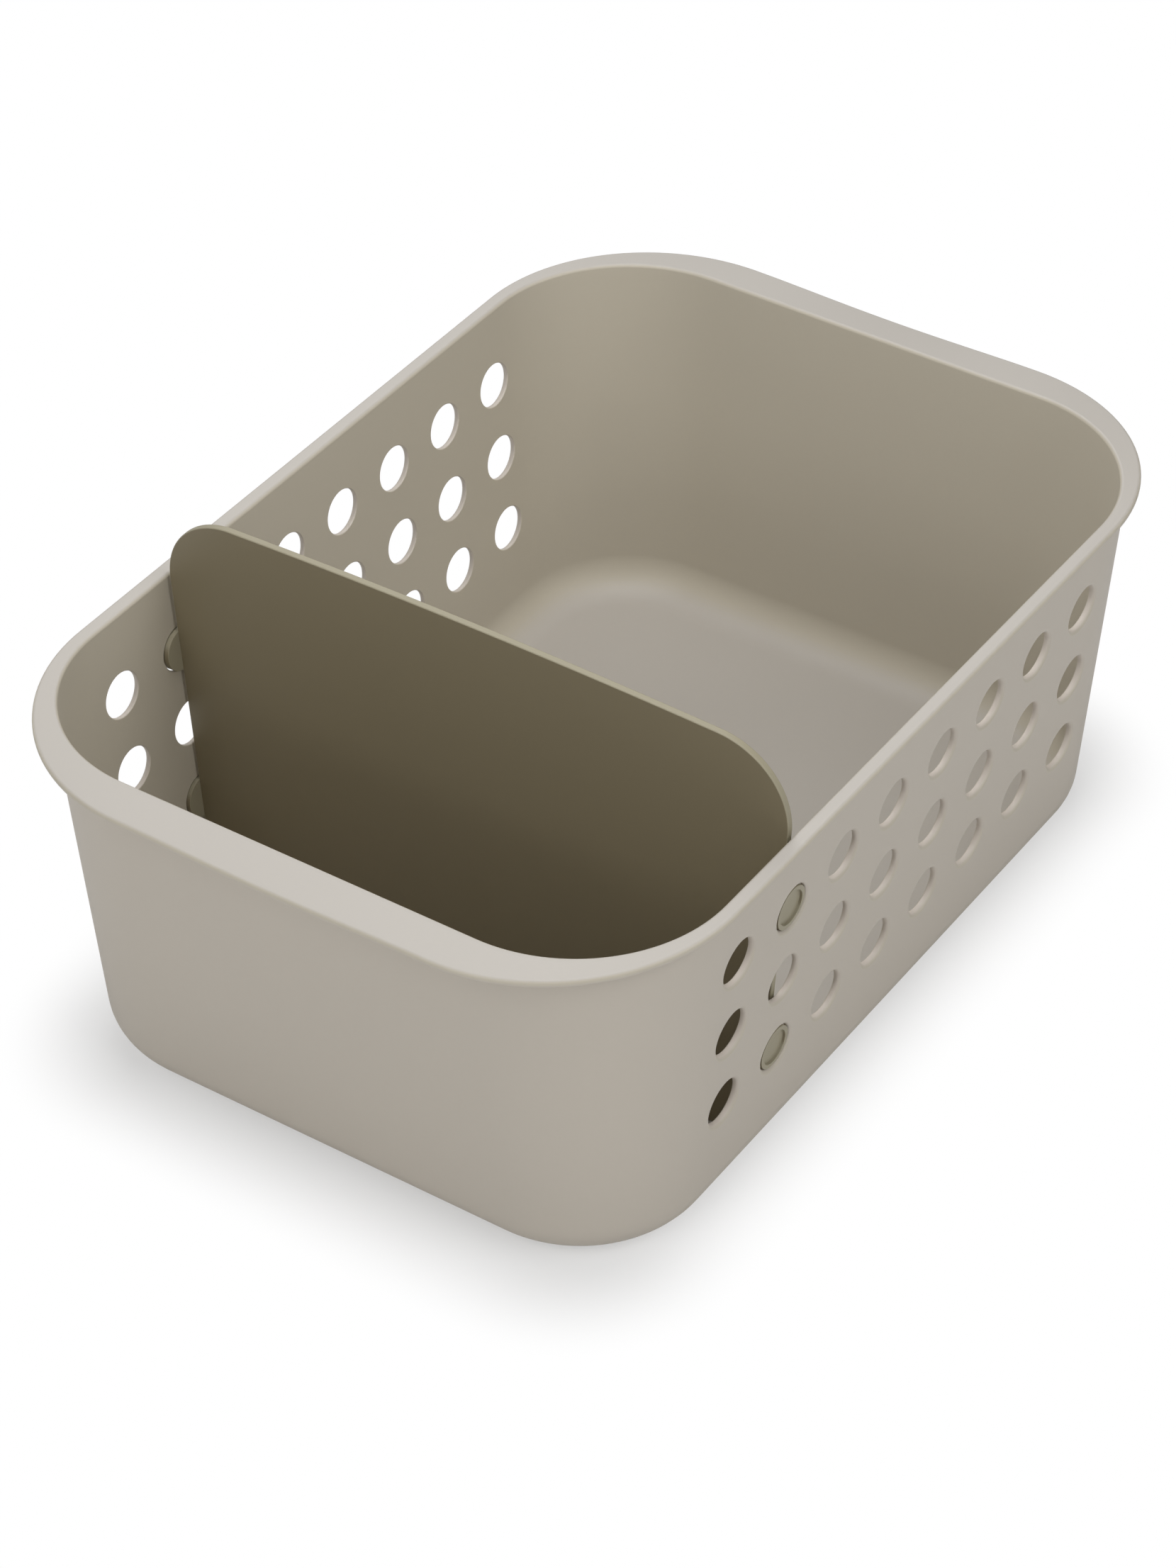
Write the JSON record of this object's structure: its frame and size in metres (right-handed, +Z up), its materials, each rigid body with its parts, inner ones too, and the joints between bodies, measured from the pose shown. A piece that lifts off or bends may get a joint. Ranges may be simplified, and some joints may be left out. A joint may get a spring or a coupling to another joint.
{
  "type": "storage basket",
  "caption": "Open rectangular storage basket with round corners, a flat rim with wide end grips, round holes in its long walls and a lift-out divider held by pegs.",
  "frame": {"origin": "centre of the basket's footprint, on the surface that it stands on", "axes": "+Z up, +Y along the basket from its small front compartment to its large rear one, +X across it to the right"},
  "size_m": [0.207, 0.3026, 0.1372],
  "materials": {
    "basket_plastic": "matte",
    "divider_plastic": "matte"
  },
  "bodies": {
    "basket": {"basket": "basket_plastic"},
    "divider": {"divider": "divider_plastic"}
  },
  "joints": [
    {"name": "divider_lift", "type": "slide", "parent": "basket", "child": "divider", "axis": [0, 0, 1], "range_m": [0, 0.16]}
  ]
}
